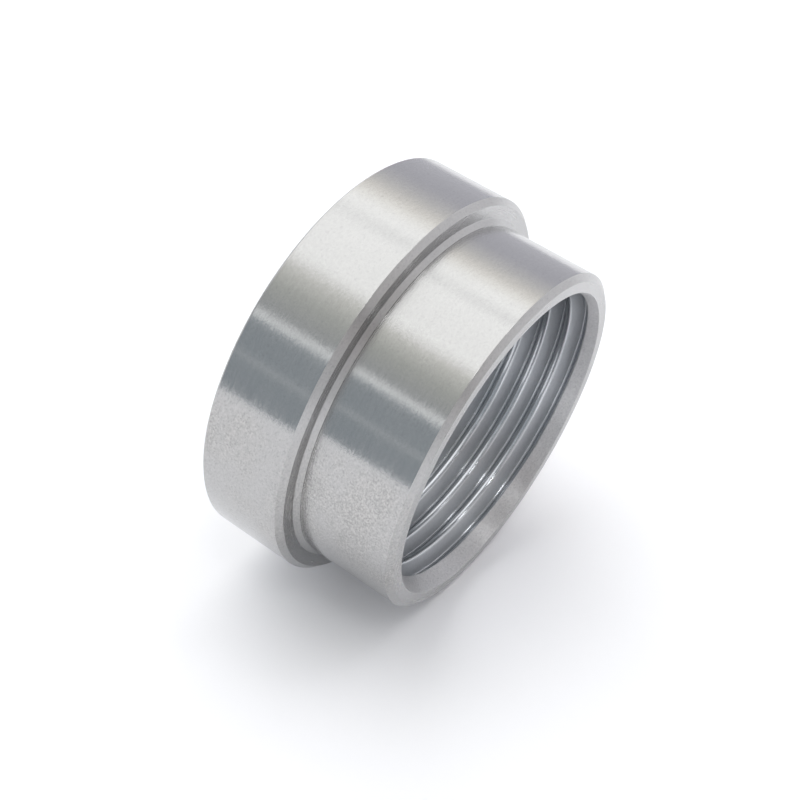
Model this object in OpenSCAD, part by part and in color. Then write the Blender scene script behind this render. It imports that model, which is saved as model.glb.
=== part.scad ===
// Weld-on threaded bung: one turned ring with a wide weld flange, a smaller
// spigot and a threaded bore right through. It stands on the flange's end face,
// with Z along the bore. All sizes are in millimetres.

/* [Thread] */
// Major diameter of the internal thread
thread_d = 33.25; // [12:0.05:60]
// Pitch of the internal thread
thread_pitch = 2.309; // [1:0.001:3]
// Radial width of the countersink at each mouth of the bore
csk_w = 0.8; // [0.2:0.05:0.9]
// Included angle of the countersinks
csk_angle = 45; // [40:5:100]

/* [Flange] */
// Length of the flange, from its end face to the shoulder
flange_l = 9; // [5:0.1:30]
// How far the flange stands out past the spigot, on the radius
flange_step = 2.3; // [1.5:0.1:10]
// 45 degree bevel on the rim at the shoulder
rim_bevel = 0.55; // [0.1:0.05:0.7]
// 45 degree edge break on the rim at the end face
base_bevel = 0.25; // [0.05:0.05:0.7]

/* [Spigot] */
// Length of the spigot, from the shoulder to its nose
spigot_l = 10.4; // [4:0.1:40]
// Wall left between the thread's root and the spigot's outside
spigot_wall = 1.075; // [1:0.025:8]
// Radial width of the bevel on the outside of the nose
nose_bevel_w = 0.6; // [0.1:0.05:0.7]
// Length along the spigot of the bevel on the nose
nose_bevel_l = 0.5; // [0.1:0.05:0.7]
// 45 degree weld land in the corner between shoulder and spigot
root_bevel = 0.45; // [0.1:0.05:0.6]
// Width of the relief groove cut next to the weld land
relief_w = 0.2; // [0.1:0.05:1]
// Depth of the relief groove
relief_depth = 0.1; // [0.05:0.05:0.3]

/* [Hidden] */
$fn = 180;

// Depth of a rounded 55 degree thread, as a share of its pitch
THREAD_DEPTH_RATIO = 0.6403;
// How far a cutter runs past the face it cuts through
OVERCUT = 1;

bore_r = thread_d / 2 - THREAD_DEPTH_RATIO * thread_pitch;
csk_depth = csk_w / tan(csk_angle / 2);
spigot_r = thread_d / 2 + spigot_wall;
flange_r = spigot_r + flange_step;
total_l = flange_l + spigot_l;
relief_z = flange_l + root_bevel;

// Rim of the flange, from its end face up to the shoulder
function flange_points() = [
    [flange_r - base_bevel, 0],
    [flange_r, base_bevel],
    [flange_r, flange_l - rim_bevel],
    [flange_r - rim_bevel, flange_l]
];

// Weld land in the corner, then the relief groove next to it
function corner_points() = [
    [spigot_r + root_bevel, flange_l],
    [spigot_r, relief_z],
    [spigot_r - relief_depth, relief_z + relief_w / 4],
    [spigot_r - relief_depth, relief_z + relief_w * 3 / 4],
    [spigot_r, relief_z + relief_w]
];

// Bevelled nose of the spigot
function nose_points() = [
    [spigot_r, total_l - nose_bevel_l],
    [spigot_r - nose_bevel_w, total_l]
];

module turned_blank() {
    rotate_extrude()
        polygon(concat([[0, 0]], flange_points(), corner_points(), nose_points(), [[0, total_l]]));
}

// Countersink at z = 0 that opens downwards
module countersink() {
    slope = csk_w / csk_depth;
    translate([0, 0, -OVERCUT])
        cylinder(r1 = bore_r + csk_w + slope * OVERCUT, r2 = bore_r, h = csk_depth + OVERCUT);
}

// Bore at the thread's minor diameter, countersunk at both mouths
module threaded_bore() {
    translate([0, 0, -OVERCUT])
        cylinder(r = bore_r, h = total_l + 2 * OVERCUT);
    countersink();
    translate([0, 0, total_l])
        mirror([0, 0, 1])
            countersink();
}

module bung() {
    color("silver")
        difference() {
            turned_blank();
            threaded_bore();
        }
}

bung();
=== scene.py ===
import math

import bpy
import numpy as np
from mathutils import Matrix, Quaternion, Vector


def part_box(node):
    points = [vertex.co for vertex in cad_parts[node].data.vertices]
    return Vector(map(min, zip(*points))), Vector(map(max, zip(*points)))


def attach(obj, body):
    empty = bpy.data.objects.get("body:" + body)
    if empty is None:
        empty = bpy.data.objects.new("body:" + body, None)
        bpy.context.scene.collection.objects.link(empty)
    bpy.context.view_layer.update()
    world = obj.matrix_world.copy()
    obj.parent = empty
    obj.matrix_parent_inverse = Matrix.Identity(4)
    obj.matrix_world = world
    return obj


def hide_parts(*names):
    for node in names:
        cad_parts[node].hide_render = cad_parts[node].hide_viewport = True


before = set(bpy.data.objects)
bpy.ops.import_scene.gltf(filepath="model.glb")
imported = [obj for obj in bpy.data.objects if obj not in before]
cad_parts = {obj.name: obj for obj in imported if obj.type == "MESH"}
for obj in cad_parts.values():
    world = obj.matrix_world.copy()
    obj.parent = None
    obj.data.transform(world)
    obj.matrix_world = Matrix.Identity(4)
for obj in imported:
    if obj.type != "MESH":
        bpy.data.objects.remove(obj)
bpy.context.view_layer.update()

MM = 0.001

# Sizes in millimetres, with the same values as the part's source.
# Angles are measured round the bore from the -Y side towards +X.
node_lo, node_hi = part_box("bung")
FLANGE_R = node_hi.x / MM
TOTAL_L = (node_hi.z - node_lo.z) / MM
THREAD_D = 33.25
PITCH = 2.309
THREAD_DEPTH_RATIO = 0.6403  # depth of a rounded 55 degree thread, as a share of its pitch
FLANGE_L = 9.0
SPIGOT_R = 17.7
RIM_BEVEL = 0.55
BASE_BEVEL = 0.25
NOSE_BEVEL_W = 0.6
NOSE_BEVEL_L = 0.5
ROOT_BEVEL = 0.45
RELIEF_W = 0.2
RELIEF_DEPTH = 0.1
BORE_R = THREAD_D / 2 - THREAD_DEPTH_RATIO * PITCH
CSK_W = 0.8
CSK_ANGLE = math.radians(45)
CSK_SLOPE = math.tan(CSK_ANGLE / 2)
CSK_DEPTH = CSK_W / CSK_SLOPE
RELIEF_Z = FLANGE_L + ROOT_BEVEL
MOUTH_R = BORE_R + CSK_W

# Thread form: a 55 degree V cut as a right-hand helix, with rounded crests and roots. The
# flanks' place and the root's radius follow from the two diameters and the crest's radius.
ROOT_R = THREAD_D / 2
FLANK_ANGLE = math.radians(27.5)
FLANK = math.tan(FLANK_ANGLE)
CORNER = 1 / math.sin(FLANK_ANGLE) - 1
CREST_ROUND = 0.4
CREST_HALF = CREST_ROUND * math.cos(FLANK_ANGLE)
CREST_V = BORE_R - CREST_ROUND * CORNER  # where the flanks would meet past the crest
ROOT_V = CREST_V + PITCH / 2 / FLANK  # where they would meet past the root
ROOT_ROUND = (ROOT_V - ROOT_R) / CORNER
ROOT_HALF = ROOT_ROUND * math.cos(FLANK_ANGLE)
GROOVE_Z = 12.52  # height of one groove's centre at the far wall, opposite -Y
FADE_FULL = 1.75  # the groove has its full depth this far from an end face
FADE_NONE = 0.7  # and has run out this far from it

# Edges: radii of the broken edges, and how softly the thread meets a countersink
EDGE = 0.06
SOFT_EDGE = 0.1
FINE_EDGE = EDGE / 2
EDGE_STEPS = 4
THREAD_EDGE = 0.015

# Grid: columns round the bore, and the thread's rows. The root's and the crest's rows are
# shares of their half widths, and the flank's are measured from the groove's centre.
COLUMNS = 320
ROOT_ROWS = (0.35, 0.7, 1.0)
FLANK_ROWS = (0.35, 0.5, 0.65)
CREST_ROWS = (1.0, 0.8, 0.6, 0.4, 0.2)
JOIN = 1e-3  # a grid point this near to an end ring, or past it, is that ring's own point
SLOPE_STEP = 1e-4  # step over which the bore's slopes are measured

# How grainy each kind of face is
SIDE_GRAIN = 0
FACE_GRAIN = 0.2
BEVEL_GRAIN = 0.4
FLANK_GRAIN = 0.5
CSK_GRAIN = 1

# What each kind of face adds to the steel's roughness
BEVEL_ROUGH = 0.12
CSK_ROUGH = 0.26
CREST_ROUGH = 0.03
FLANK_ROUGH = 0.33

# Countersink gives way to thread over this difference of their radii
CUT_BLEND = 0.04
# The flanks that face the nose begin at this tilt of the wall, and are full this much past it
FLANK_TILT = 0.6
FLANK_BLEND = 0.2


# Turned skin
def skin_corners():
    """The outside section from the lower countersink round to the upper one.

    Each corner is (radius, height, edge radius, grain of the face that follows).
    """
    inset = 2 * EDGE
    throat_r = MOUTH_R - inset * CSK_SLOPE
    relief_r = SPIGOT_R - RELIEF_DEPTH
    return [
        (throat_r, inset, 0, CSK_GRAIN),
        (MOUTH_R, 0, EDGE, FACE_GRAIN),
        (FLANGE_R - BASE_BEVEL, 0, EDGE, BEVEL_GRAIN),
        (FLANGE_R, BASE_BEVEL, EDGE, SIDE_GRAIN),
        (FLANGE_R, FLANGE_L - RIM_BEVEL, EDGE, BEVEL_GRAIN),
        (FLANGE_R - RIM_BEVEL, FLANGE_L, EDGE, FACE_GRAIN),
        (SPIGOT_R + ROOT_BEVEL, FLANGE_L, SOFT_EDGE, BEVEL_GRAIN),
        (SPIGOT_R, RELIEF_Z, FINE_EDGE, FACE_GRAIN),
        (relief_r, RELIEF_Z + RELIEF_W / 4, FINE_EDGE, FACE_GRAIN),
        (relief_r, RELIEF_Z + RELIEF_W * 3 / 4, FINE_EDGE, FACE_GRAIN),
        (SPIGOT_R, RELIEF_Z + RELIEF_W, FINE_EDGE, SIDE_GRAIN),
        (SPIGOT_R, TOTAL_L - NOSE_BEVEL_L, EDGE, BEVEL_GRAIN),
        (SPIGOT_R - NOSE_BEVEL_W, TOTAL_L, EDGE, FACE_GRAIN),
        (MOUTH_R, TOTAL_L, SOFT_EDGE, CSK_GRAIN),
        (throat_r, TOTAL_L - inset, 0, CSK_GRAIN),
    ]


def unit(v):
    return v / np.linalg.norm(v)


def right_of(d):
    """The normal on the right of a direction, which is the outside of the section."""
    return np.array([d[1], -d[0]])


def skin_profile():
    """Points, outward normals and grain along the section, with each corner turned into an arc."""
    corners = skin_corners()
    places = [np.array(corner[:2]) for corner in corners]
    ways = [unit(b - a) for a, b in zip(places, places[1:])]
    out = [(places[0], right_of(ways[0]), corners[0][3])]
    for i in range(1, len(corners) - 1):
        d_in, d_out = ways[i - 1], ways[i]
        _, _, round_r, grain = corners[i]
        grain_in = corners[i - 1][3]
        turn = math.atan2(d_in[0] * d_out[1] - d_in[1] * d_out[0], d_in @ d_out)
        side = 1 if turn > 0 else -1
        n_in = right_of(d_in)
        centre = places[i] - d_in * round_r * math.tan(abs(turn) / 2) - side * n_in * round_r
        for k in range(EDGE_STEPS + 1):
            share = k / EDGE_STEPS
            c, s = math.cos(turn * share), math.sin(turn * share)
            n = np.array([n_in[0] * c - n_in[1] * s, n_in[0] * s + n_in[1] * c])
            out.append((centre + side * n * round_r, n, grain_in * (1 - share) + grain * share))
    out.append((places[-1], right_of(ways[-1]), corners[-1][3]))
    return out


# Threaded bore
def soft_max(a, b, k):
    return (a + b + np.sqrt((a - b) ** 2 + k * k)) / 2


def bore_wall(theta, z):
    """Radii of the threaded wall and of the countersinks' cones, at an angle in degrees."""
    turns = (z - GROOVE_Z) / PITCH - (theta - 180) / 360
    u = (turns - np.round(turns)) * PITCH
    from_root = np.abs(u)
    from_crest = PITCH / 2 - from_root
    flank = ROOT_V - from_root / FLANK
    root = ROOT_R - ROOT_ROUND + np.sqrt(np.maximum(ROOT_ROUND**2 - u**2, 0))
    crest = BORE_R + CREST_ROUND - np.sqrt(np.maximum(CREST_ROUND**2 - from_crest**2, 0))
    groove = np.where(from_root < ROOT_HALF, root, np.where(from_crest < CREST_HALF, crest, flank))
    centre_z = z - u
    end = np.minimum(centre_z, TOTAL_L - centre_z)
    t = np.clip((end - FADE_NONE) / (FADE_FULL - FADE_NONE), 0, 1)
    depth = t * t * (3 - 2 * t)
    wall = BORE_R + depth * (groove - BORE_R)
    mouth = np.minimum(z, TOTAL_L - z)
    cone = BORE_R + (CSK_DEPTH - mouth) * CSK_SLOPE
    return wall, cone


def bore_radius(theta, z):
    wall, cone = bore_wall(theta, z)
    return soft_max(wall, cone, THREAD_EDGE)


def bore_normal(theta, z):
    """Unit normals that point to the axis, from bore_radius's slopes: radial, around and along."""
    h = SLOPE_STEP
    r = bore_radius(theta, z)
    slope_z = (bore_radius(theta, z + h) - bore_radius(theta, z - h)) / (2 * h)
    dt = math.degrees(h / BORE_R)
    slope_t = (bore_radius(theta + dt, z) - bore_radius(theta - dt, z)) / (2 * h) * (BORE_R / r)
    n = np.stack([-np.ones_like(r), slope_t, slope_z], -1)
    return n / np.linalg.norm(n, axis=-1, keepdims=True)


def thread_rows():
    """Heights of one pitch's grid rows, measured from the groove's centre."""
    root = [ROOT_HALF * x for x in ROOT_ROWS]
    crest = [PITCH / 2 - CREST_HALF * x for x in CREST_ROWS]
    half = root + list(FLANK_ROWS) + crest
    return sorted([-x for x in half] + [0] + half + [PITCH / 2])


# Mesh
ANGLES = np.arange(COLUMNS) * 360.0 / COLUMNS
SIN, COS, ZERO = np.sin(np.radians(ANGLES)), np.cos(np.radians(ANGLES)), np.zeros(COLUMNS)
OUT = np.stack([SIN, -COS, ZERO], -1)
AROUND = np.stack([COS, SIN, ZERO], -1)
UP = np.array([0.0, 0.0, 1.0])


class Surface:
    """Points, normals and faces of the piece, and what its material needs to know at each point."""

    def __init__(self):
        self.points = []
        self.normals = []
        self.faces = []
        self.values = {"thread": [], "grain": [], "rough": []}

    def add(self, point, normal, **values):
        """Add a point and give its number."""
        self.points.append(point)
        self.normals.append(normal)
        for name, value in values.items():
            self.values[name].append(value)
        return len(self.points) - 1

    def to_object(self, name):
        mesh = bpy.data.meshes.new(name)
        mesh.from_pydata([tuple(p * MM) for p in self.points], [], self.faces)
        mesh.validate()
        for label, values in self.values.items():
            mesh.attributes.new(label, "FLOAT", "POINT").data.foreach_set("value", values)
        mesh.polygons.foreach_set("use_smooth", [True] * len(mesh.polygons))
        mesh.normals_split_custom_set_from_vertices([tuple(n) for n in self.normals])
        mesh.update()
        return new_object(name, mesh)


def new_object(name, data):
    obj = bpy.data.objects.new(name, data)
    bpy.context.scene.collection.objects.link(obj)
    return obj


def add_skin(surface, profile):
    """Turn the section. Row i of its rings starts at point i * COLUMNS."""
    for p, n, grain in profile:
        rough = np.interp(grain, [SIDE_GRAIN, BEVEL_GRAIN, CSK_GRAIN], [0, BEVEL_ROUGH, CSK_ROUGH])
        for out in OUT:
            point = out * p[0] + UP * p[1]
            surface.add(point, out * n[0] + UP * n[1], thread=0.0, grain=grain, rough=rough)
    for row in range(len(profile) - 1):
        low, high = row * COLUMNS, (row + 1) * COLUMNS
        for j in range(COLUMNS):
            k = (j + 1) % COLUMNS
            surface.faces.append((low + j, low + k, high + k, high + j))


def bore_values(theta, z, tilt):
    """How far the bore's wall is thread, its grain and its roughness. The tilt is its normals' z."""
    wall, cone = bore_wall(theta, z)
    cut = np.clip((wall - cone) / CUT_BLEND + 0.5, 0, 1)
    flank = np.clip((tilt - FLANK_TILT) / FLANK_BLEND, 0, 1) * cut
    grain = CSK_GRAIN * (1 - cut) + FLANK_GRAIN * flank
    rough = CSK_ROUGH * (1 - cut) + CREST_ROUGH * cut + (FLANK_ROUGH - CREST_ROUGH) * flank
    return cut, grain, rough


def add_bore(surface, profile):
    """Cut the threaded bore: a grid that follows the helix and ends on the skin's end rings."""
    bottom, top = 0, (len(profile) - 1) * COLUMNS
    z_lo, z_hi = profile[0][0][1] + JOIN, profile[-1][0][1] - JOIN
    rows = thread_rows()
    first = math.floor((z_lo - GROOVE_Z) / PITCH) - 1
    last = math.ceil((z_hi - GROOVE_Z) / PITCH) + 1
    heights = np.array([turn * PITCH + row for turn in range(first, last + 1) for row in rows])
    index = {}
    for j, angle in enumerate(ANGLES):
        z = GROOVE_Z + PITCH * (angle - 180) / 360 + heights
        r = bore_radius(angle, z)
        n = bore_normal(angle, z)
        cut, grain, rough = bore_values(angle, z, n[:, 2])
        for i in range(len(z)):
            if z[i] <= z_lo:
                index[j, i] = bottom + j
            elif z[i] >= z_hi:
                index[j, i] = top + j
            else:
                point = OUT[j] * r[i] + UP * z[i]
                normal = OUT[j] * n[i, 0] + AROUND[j] * n[i, 1] + UP * n[i, 2]
                index[j, i] = surface.add(point, normal, thread=cut[i], grain=grain[i], rough=rough[i])
    add_bore_faces(surface, index, top, len(heights), len(rows))


def add_bore_faces(surface, index, top, count, pitch_rows):
    for j in range(COLUMNS):
        k = (j + 1) % COLUMNS
        # Past the last column the helix has climbed one pitch
        shift = pitch_rows if k == 0 else 0
        for i in range(count - 1):
            corner = [
                index[j, i],
                index[j, i + 1],
                index.get((k, i + 1 + shift), top + k),
                index.get((k, i + shift), top + k),
            ]
            face = [v for m, v in enumerate(corner) if v != corner[m - 1]]
            if len(face) > 2:
                surface.faces.append(tuple(face))


def build_bung():
    surface = Surface()
    profile = skin_profile()
    add_skin(surface, profile)
    add_bore(surface, profile)
    return surface.to_object("bung_turned")


# Node helpers
MIX_A = 6  # a Mix node's inputs and output for colours
MIX_B = 7
MIX_RESULT = 2
NOISE_LO = 0.3  # where most of a noise's values lie
NOISE_HI = 0.7


class Nodes:
    """Short ways to build one node tree. A value is a number, a colour or a node's output."""

    def __init__(self, owner):
        owner.use_nodes = True
        self.tree = owner.node_tree

    def add(self, kind, **settings):
        made = self.tree.nodes.new(kind)
        for name, value in settings.items():
            setattr(made, name, value)
        return made

    def feed(self, socket, value):
        if isinstance(value, bpy.types.NodeSocket):
            self.tree.links.new(value, socket)
        else:
            socket.default_value = value

    def place(self, kind):
        """The three coordinates of the shaded point, or of the ray's direction in the world."""
        split = self.add("ShaderNodeSeparateXYZ")
        self.feed(split.inputs[0], self.add("ShaderNodeTexCoord").outputs[kind])
        return split.outputs

    def attribute(self, name):
        return self.add("ShaderNodeAttribute", attribute_name=name).outputs["Fac"]

    def rays(self, *kinds):
        """1 for rays of the named kinds and 0 for others."""
        path = self.add("ShaderNodeLightPath")
        found = path.outputs[kinds[0]]
        for kind in kinds[1:]:
            found = self.maths("MAXIMUM", found, path.outputs[kind])
        return found

    def maths(self, operation, *values):
        made = self.add("ShaderNodeMath", operation=operation)
        for socket, value in zip(made.inputs, values):
            self.feed(socket, value)
        return made.outputs[0]

    def times(self, a, b):
        return self.maths("MULTIPLY", a, b)

    def plus(self, a, b):
        return self.maths("ADD", a, b)

    def length(self, a, b):
        return self.maths("SQRT", self.plus(self.times(a, a), self.times(b, b)))

    def angle(self, x, y):
        """Angle round the bore, in radians."""
        return self.maths("ARCTAN2", x, self.times(y, -1))

    def span(self, value, lo, hi, to_lo, to_hi, kind="LINEAR"):
        """Map lo..hi to to_lo..to_hi, and hold the end values outside it."""
        made = self.add("ShaderNodeMapRange", interpolation_type=kind)
        self.feed(made.inputs["Value"], value)
        self.feed(made.inputs["From Min"], lo)
        self.feed(made.inputs["From Max"], hi)
        self.feed(made.inputs["To Min"], to_lo)
        self.feed(made.inputs["To Max"], to_hi)
        return made.outputs[0]

    def swing(self, noise, to_lo, to_hi):
        return self.span(noise, NOISE_LO, NOISE_HI, to_lo, to_hi)

    def mix(self, factor, a, b, mode="MIX"):
        made = self.add("ShaderNodeMix", data_type="RGBA", blend_type=mode)
        self.feed(made.inputs[0], factor)
        self.feed(made.inputs[MIX_A], a)
        self.feed(made.inputs[MIX_B], b)
        return made.outputs[MIX_RESULT]

    def vector(self, x, y, z):
        made = self.add("ShaderNodeCombineXYZ")
        for socket, value in zip(made.inputs, (x, y, z)):
            self.feed(socket, value)
        return made.outputs[0]

    def noise(self, vector, w, detail):
        made = self.add("ShaderNodeTexNoise", noise_dimensions="4D")
        self.feed(made.inputs["Vector"], vector)
        self.feed(made.inputs["W"], w)
        self.feed(made.inputs["Scale"], 1.0)
        self.feed(made.inputs["Detail"], detail)
        return made.outputs["Fac"]

    def bump(self, height, strength, depth, normal=None):
        made = self.add("ShaderNodeBump")
        self.feed(made.inputs["Strength"], strength)
        self.feed(made.inputs["Distance"], depth)
        self.feed(made.inputs["Height"], height)
        if normal is not None:
            self.feed(made.inputs["Normal"], normal)
        return made.outputs[0]


# Turned stainless steel
# Noises: cell size across the turning marks and along them, in millimetres, and detail
NOISES = {
    "fine": (0.09, 25.0, 3.0),
    "streak": (0.22, 3.0, 3.0),
    "speckle": (0.19, 0.23, 3.0),
    "pits": (0.15, 0.19, 2.0),
    "brushed": (0.16, 0.9, 2.0),
    "cloud": (4.0, 6.0, 2.0),
}
# Colours, from the darkest tone to the lightest
SKIN_COLOURS = ((0.39, 0.39, 0.395, 1), (0.585, 0.585, 0.58, 1))
CSK_COLOURS = ((0.49, 0.49, 0.50, 1), (0.67, 0.67, 0.675, 1))
# The thread's steel is lighter and bluer than the skin's: painted light that lifts the bore's dark
# inter-reflections and paints in its bluish reflections
THREAD_PAINTED_LIFT_COLOURS = ((0.53, 0.55, 0.575, 1), (0.65, 0.67, 0.695, 1))
CSK_BLEND = (0.5, 1)  # grain over which the skin's colours give way to the countersinks'
# One side of the outside, towards the table, is left rougher and more speckled, and also takes a
# painted warm shade that offsets the table's bluish reflection. It comes in and goes out between these
# angles.
ROUGH_SIDE_IN = (math.radians(22), math.radians(30))
ROUGH_SIDE_OUT = (math.radians(58), math.radians(80))
# Painted warm shade on that side, offsetting the bluish table mirrored there
PAINTED_WARM_SHADE = (0.95, 0.94, 0.925, 1)
PATCH_NOISE = (0.38, 0.6)  # it is patchy, from its least share up to all of it
PATCH_LEAST = 0.35
# How strong the speckle is
FLANGE_SPECKLE = 0.85  # on the rougher side of the flange
SPIGOT_SPECKLE = 1.3  # and of the spigot
SHOULDER_BLEND = (FLANGE_L * MM, (FLANGE_L + 1) * MM)
GRAIN_SPECKLE = 0.55  # on the grainiest faces
LEAST_SPECKLE = 0.15  # everywhere
# How far each noise moves the tone from the middle, to the dark and to the light
MID_TONE = 0.5
TURNED_TONE = (-0.03, 0.03)
THREAD_TONE = 0.35  # share of the turned tone that is left in the thread
CLOUD_TONE = (-0.015, 0.015)
SPECKLE_TONE = (-0.46, 0.54)
PIT_NOISE = (0.56, 0.68)  # a pit begins and is full where its noise has these values
PIT_TONE = -1.1
# Roughness, before the share that each kind of face adds
STREAK_ROUGH = (0.175, 0.225)
CLOUD_ROUGH = (-0.02, 0.02)
ANISOTROPY = 0.9
ANISOTROPY_TURN = 0.25
# Bumps: strengths on the plain skin and in the thread, and depths
FINE_BUMP = (0.25, 0.06)
BRUSHED_BUMP = (0.4, 0)
SPECKLE_BUMP = 0.38
FINE_DEPTH = 0.02 * MM
BRUSHED_DEPTH = 0.03 * MM
SPECKLE_DEPTH = 0.03 * MM
SMOOTH_GRAIN = 3  # the fine bump is weak on faces grainier than one part in this


def turned_noises(nodes, place):
    """The noises, wrapped round the bore so that they run with the turning marks."""
    x, y, z = place
    radius = nodes.length(x, y)
    made = {}
    for name, (width, length, detail) in NOISES.items():
        across, along = 1 / (width * MM), 1 / (length * MM)
        vector = nodes.vector(nodes.times(x, along), nodes.times(y, along), nodes.times(z, across))
        made[name] = nodes.noise(vector, nodes.times(radius, across), detail)
    return made


def rough_side_and_painted_shade_share(nodes, place, cloud, in_thread):
    """How far a point belongs to the rougher side of the outside, which also carries a painted warm
    shade.
    """
    turn = nodes.angle(place[0], place[1])
    share = nodes.times(
        nodes.span(turn, *ROUGH_SIDE_IN, 0, 1, "SMOOTHSTEP"),
        nodes.span(turn, *ROUGH_SIDE_OUT, 1, 0, "SMOOTHSTEP"),
    )
    share = nodes.times(share, nodes.span(cloud, *PATCH_NOISE, PATCH_LEAST, 1))
    return nodes.times(share, nodes.maths("SUBTRACT", 1, in_thread))


def speckle_share(nodes, place, rough_side_and_painted_shade, grainy):
    """How strong the speckle is at a point."""
    by_height = nodes.span(place[2], *SHOULDER_BLEND, FLANGE_SPECKLE, SPIGOT_SPECKLE)
    share = nodes.times(rough_side_and_painted_shade, by_height)
    share = nodes.maths("MAXIMUM", nodes.times(grainy, GRAIN_SPECKLE), share)
    return nodes.plus(nodes.times(share, 1 - LEAST_SPECKLE), LEAST_SPECKLE)


def steel_tone(nodes, noises, mottle, in_thread):
    """Where a point's colour lies between the darkest and the lightest."""
    fine = nodes.swing(noises["fine"], *TURNED_TONE)
    tone = nodes.plus(fine, nodes.swing(noises["streak"], *TURNED_TONE))
    tone = nodes.times(tone, nodes.span(in_thread, 0, 1, 1, THREAD_TONE))
    pits = nodes.span(noises["pits"], *PIT_NOISE, 0, PIT_TONE)
    dots = nodes.plus(nodes.swing(noises["speckle"], *SPECKLE_TONE), pits)
    tone = nodes.plus(tone, nodes.times(dots, mottle))
    tone = nodes.plus(tone, nodes.swing(noises["cloud"], *CLOUD_TONE))
    return nodes.plus(MID_TONE, tone)


def steel_colour(nodes, tone, rough_side_and_painted_shade, in_thread, grainy):
    skin = nodes.mix(tone, *SKIN_COLOURS)
    skin = nodes.mix(nodes.span(grainy, *CSK_BLEND, 0, 1), skin, nodes.mix(tone, *CSK_COLOURS))
    # Painted warm shade over the rough side, offsetting the table's bluish reflection
    skin = nodes.mix(rough_side_and_painted_shade, skin, PAINTED_WARM_SHADE, "MULTIPLY")
    # The thread takes its lighter, bluer colours: painted light in the bore
    return nodes.mix(in_thread, skin, nodes.mix(tone, *THREAD_PAINTED_LIFT_COLOURS))


def steel_roughness(nodes, noises):
    streaks = nodes.swing(noises["streak"], *STREAK_ROUGH)
    rough = nodes.plus(streaks, nodes.swing(noises["cloud"], *CLOUD_ROUGH))
    return nodes.plus(rough, nodes.attribute("rough"))


def steel_bumps(nodes, noises, mottle, in_thread, grainy):
    smooth = nodes.maths("MAXIMUM", in_thread, nodes.times(grainy, SMOOTH_GRAIN))
    fine = nodes.span(smooth, 0, 1, *FINE_BUMP)
    brushed = nodes.span(in_thread, 0, 1, *BRUSHED_BUMP)
    bumped = nodes.bump(noises["fine"], fine, FINE_DEPTH)
    bumped = nodes.bump(noises["brushed"], brushed, BRUSHED_DEPTH, bumped)
    return nodes.bump(noises["speckle"], nodes.times(mottle, SPECKLE_BUMP), SPECKLE_DEPTH, bumped)


def steel():
    material = bpy.data.materials.new("turned_steel")
    nodes = Nodes(material)
    shader = nodes.tree.nodes["Principled BSDF"]
    place = nodes.place("Object")
    noises = turned_noises(nodes, place)
    in_thread = nodes.attribute("thread")
    grainy = nodes.attribute("grain")
    rough_side_and_painted_shade = rough_side_and_painted_shade_share(nodes, place, noises["cloud"], in_thread)
    mottle = speckle_share(nodes, place, rough_side_and_painted_shade, grainy)
    tone = steel_tone(nodes, noises, mottle, in_thread)
    colour = steel_colour(nodes, tone, rough_side_and_painted_shade, in_thread, grainy)
    bumps = steel_bumps(nodes, noises, mottle, in_thread, grainy)
    tangent = nodes.add("ShaderNodeTangent", direction_type="RADIAL", axis="Z")
    nodes.feed(shader.inputs["Base Color"], colour)
    nodes.feed(shader.inputs["Roughness"], steel_roughness(nodes, noises))
    nodes.feed(shader.inputs["Tangent"], tangent.outputs[0])
    nodes.feed(shader.inputs["Normal"], bumps)
    shader.inputs["Metallic"].default_value = 1.0
    shader.inputs["Anisotropic"].default_value = ANISOTROPY
    shader.inputs["Anisotropic Rotation"].default_value = ANISOTROPY_TURN
    return material


# Build the piece
bung = build_bung()
bung.data.materials.append(steel())
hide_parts("bung")
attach(bung, "root")

# Table
# The bung lies on its side in the photograph, on the flange's rim and the nose's rim.
# The table is the plane that touches both, on the side at this angle round the bore.
REST_ANGLE = math.radians(133)
rim = (FLANGE_R, FLANGE_L - RIM_BEVEL)
nose = (SPIGOT_R, TOTAL_L - NOSE_BEVEL_L)
tilt = math.atan2(rim[0] - nose[0], nose[1] - rim[1])
side = Vector((math.sin(REST_ANGLE), -math.cos(REST_ANGLE), 0))
TABLE_UP = -(side * math.cos(tilt) + Vector((0, 0, math.sin(tilt))))
TABLE_AT = (side * rim[0] + Vector((0, 0, rim[1]))) * MM
# Measures of the table in metres, from where the flange's rim touches it
TABLE_HALF = 0.45  # half its width, and how far it goes on the flange's side
TABLE_END = 0.11  # how far it goes on the nose's side
TABLE_MID = 0.005  # middle of the line on which the bung rests
# The paper is overexposed in the photograph. Here it glows with a painted lift to white, seen directly
# and mirrored in the steel. The lift is least along the line the bung rests on, a painted shade round
# the bung, and grows over this distance.
TABLE_NEAR_FAR = (0.009, 0.028)
PAINTED_PAPER_GLOW = (0.035, 0.12)
PAPER = (0.94, 0.945, 0.97, 1)
PAINTED_GLOW_COLOUR = (0.95, 0.975, 1.0, 1)


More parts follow.
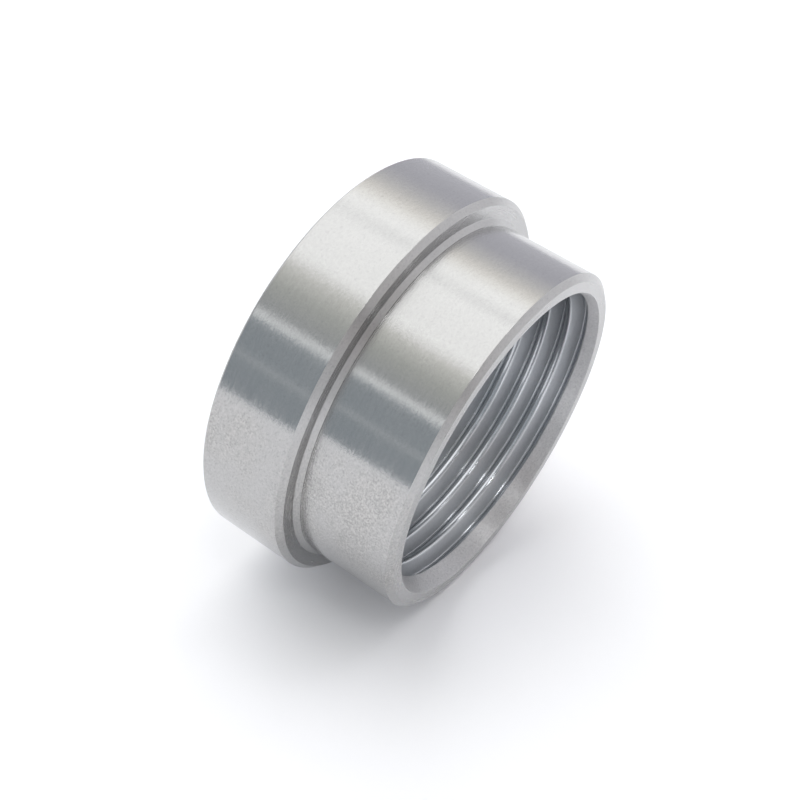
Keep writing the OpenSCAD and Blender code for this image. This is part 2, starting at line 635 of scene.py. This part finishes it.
def paper():
    """White paper that keeps its shadows, and can't be seen from below. It glows with a painted lift
    that is weaker next to the bung, a painted shade there, and shows as painted light in the steel's
    reflections farther out.
    """
    material = bpy.data.materials.new("table")
    nodes = Nodes(material)
    nodes.tree.nodes.remove(nodes.tree.nodes["Principled BSDF"])
    matt = nodes.add("ShaderNodeBsdfDiffuse")
    matt.inputs["Color"].default_value = PAPER
    white = nodes.add("ShaderNodeEmission")
    white.inputs["Color"].default_value = PAINTED_GLOW_COLOUR
    seen = nodes.rays("Is Camera Ray", "Is Glossy Ray", "Is Transmission Ray")
    x, y, _ = nodes.place("Object")
    away = nodes.length(x, nodes.maths("SUBTRACT", y, TABLE_MID))
    # Painted glow, weakest near the line the bung rests on: a painted shade round it
    painted_glow_strength = nodes.span(away, *TABLE_NEAR_FAR, *PAINTED_PAPER_GLOW, "SMOOTHSTEP")
    nodes.feed(white.inputs["Strength"], nodes.times(seen, painted_glow_strength))
    front = nodes.add("ShaderNodeAddShader")
    nodes.feed(front.inputs[0], matt.outputs[0])
    nodes.feed(front.inputs[1], white.outputs[0])
    both = nodes.add("ShaderNodeMixShader")
    nodes.feed(both.inputs[0], nodes.add("ShaderNodeNewGeometry").outputs["Backfacing"])
    nodes.feed(both.inputs[1], front.outputs[0])
    nodes.feed(both.inputs[2], nodes.add("ShaderNodeBsdfTransparent").outputs[0])
    nodes.feed(nodes.tree.nodes["Material Output"].inputs["Surface"], both.outputs[0])
    return material


def table():
    mesh = bpy.data.meshes.new("table")
    corners = [
        (-TABLE_HALF, -TABLE_HALF, 0),
        (TABLE_HALF, -TABLE_HALF, 0),
        (TABLE_HALF, TABLE_END, 0),
        (-TABLE_HALF, TABLE_END, 0),
    ]
    mesh.from_pydata(corners, [], [(0, 1, 2, 3)])
    mesh.materials.append(paper())
    obj = new_object("table", mesh)
    obj.location = TABLE_AT
    obj.rotation_mode = "QUATERNION"
    obj.rotation_quaternion = TABLE_UP.to_track_quat("Z", "Y")


table()

# Light
# The room round the bung, by the angle in degrees that a direction makes round its axis.
# STUDIO is what its outside mirrors: a grey wall, a softbox over the table, the dark side of
# the room where the camera stands, and the edge of a lamp. CEILING lies towards the nose,
# BACKDROP towards the flange.
STUDIO = [
    (-180, (0.60, 0.60, 0.655)),
    (-148, (0.62, 0.62, 0.675)),
    (-138, (0.70, 0.70, 0.755)),
    (-112, (0.67, 0.67, 0.73)),
    (-99, (0.90, 0.89, 0.88)),
    (-91, (1.20, 1.16, 1.09)),
    (-84, (1.55, 1.52, 1.45)),
    (-78, (1.72, 1.72, 1.70)),
    (-72, (1.72, 1.72, 1.70)),
    (-68, (1.42, 1.42, 1.41)),
    (-65, (1.42, 1.42, 1.41)),
    (-61, (1.69, 1.69, 1.67)),
    (-31, (1.64, 1.64, 1.62)),
    (-22, (0.98, 0.98, 0.92)),
    (-10, (0.64, 0.66, 0.62)),
    (4, (0.52, 0.54, 0.55)),
    (6, (1.25, 1.28, 1.28)),
    (9, (1.25, 1.28, 1.28)),
    (11, (0.43, 0.475, 0.51)),
    (30, (0.42, 0.465, 0.50)),
    (31, (0.85, 0.88, 0.90)),
    (32, (0.42, 0.465, 0.50)),
    (60, (0.42, 0.465, 0.50)),
    (90, (0.70, 0.70, 0.77)),
]
CEILING = [
    (-180, (0.34, 0.34, 0.35)),
    (-165, (0.40, 0.40, 0.41)),
    (-140, (0.80, 0.79, 0.82)),
    (-120, (1.00, 0.99, 1.02)),
    (-105, (0.93, 0.92, 0.95)),
    (-85, (0.84, 0.83, 0.84)),
    (-62, (0.72, 0.70, 0.70)),
    (-42, (0.64, 0.62, 0.62)),
    (-27, (0.22, 0.21, 0.21)),
    (-12, (0.68, 0.65, 0.655)),
    (25, (0.72, 0.72, 0.73)),
    (70, (0.65, 0.67, 0.70)),
    (110, (0.58, 0.60, 0.63)),
    (140, (0.68, 0.68, 0.72)),
    (179, (0.62, 0.62, 0.66)),
]
BACKDROP = [
    (-180, (0.28, 0.28, 0.30)),
    (-150, (0.32, 0.32, 0.34)),
    (-135, (1.65, 1.65, 1.67)),
    (-60, (1.60, 1.60, 1.62)),
    (-30, (1.25, 1.25, 1.27)),
    (0, (0.50, 0.52, 0.54)),
    (90, (0.42, 0.44, 0.46)),
    (150, (0.80, 0.80, 0.83)),
    (179, (0.30, 0.30, 0.32)),
]
# They meet where a direction's height, from -1 straight down to 1 straight up, is this
BACKDROP_TO_STUDIO = (-0.75, -0.55)
STUDIO_TO_CEILING = (-0.08, 0.12)
# Lamps: angle round the axis, elevation, half width, half height (all in degrees) and strength
LAMPS = [(-26, 12, 3.5, 4.5, 8), (-62, 12, 3.5, 4.5, 5), (-155, 48, 9, 13, 1.4)]
LAMP_SOFT = 1.5  # width of a lamp's soft edge, in degrees
WHITE = (1, 1, 1, 1)


def ramp(nodes, part, stops):
    made = nodes.add("ShaderNodeValToRGB")
    elements = made.color_ramp.elements
    while len(elements) > 1:
        elements.remove(elements[-1])
    for i, (degrees, colour) in enumerate(stops):
        place = (degrees + 180) / 360
        stop = elements[0] if i == 0 else elements.new(place)
        stop.position = place
        stop.color = (*colour, 1)
    nodes.feed(made.inputs[0], part)
    return made.outputs[0]


def within(nodes, value, middle, half):
    """1 within half of the middle, in degrees, and 0 outside a soft edge."""
    off = nodes.maths("ABSOLUTE", nodes.maths("SUBTRACT", value, math.radians(middle)))
    return nodes.span(off, math.radians(half), math.radians(half + LAMP_SOFT), 1, 0)


def studio():
    world = bpy.data.worlds.new("studio")
    bpy.context.scene.world = world
    nodes = Nodes(world)
    x, y, z = nodes.place("Generated")
    angle = nodes.angle(x, y)
    part = nodes.span(angle, -math.pi, math.pi, 0, 1)
    below = nodes.span(z, *BACKDROP_TO_STUDIO, 1, 0, "SMOOTHSTEP")
    above = nodes.span(z, *STUDIO_TO_CEILING, 0, 1, "SMOOTHSTEP")
    lit = nodes.mix(below, ramp(nodes, part, STUDIO), ramp(nodes, part, BACKDROP))
    lit = nodes.mix(above, lit, ramp(nodes, part, CEILING))
    elevation = nodes.maths("ARCSINE", z)
    for turn, rise, half_turn, half_rise, strength in LAMPS:
        across = within(nodes, angle, turn, half_turn)
        inside = nodes.times(across, within(nodes, elevation, rise, half_rise))
        lit = nodes.mix(inside, lit, (strength, strength, strength, 1))
    seen = nodes.rays("Is Camera Ray", "Is Transmission Ray")
    ground = nodes.tree.nodes["Background"]
    nodes.feed(ground.inputs["Color"], nodes.mix(seen, lit, WHITE))
    ground.inputs["Strength"].default_value = 1.0


studio()

# Camera
CAMERA_AT = Vector((0, -123.51, 53.13)) * MM
CAMERA_TO = Vector((1.454, 0, 8.216)) * MM
CAMERA_ROLL = math.radians(121.57)
CAMERA_LENS = 62.1
CAMERA_SENSOR = 36
CAMERA_NEAREST = 0.01


def camera():
    data = bpy.data.cameras.new("camera")
    data.sensor_width = CAMERA_SENSOR
    data.lens = CAMERA_LENS
    data.clip_start = CAMERA_NEAREST
    obj = new_object("camera", data)
    obj.location = CAMERA_AT
    obj.rotation_mode = "QUATERNION"
    look = (CAMERA_TO - CAMERA_AT).to_track_quat("-Z", "Y")
    obj.rotation_quaternion = look @ Quaternion((0, 0, 1), CAMERA_ROLL)
    bpy.context.scene.camera = obj


camera()
bpy.context.scene.view_settings.view_transform = "Standard"
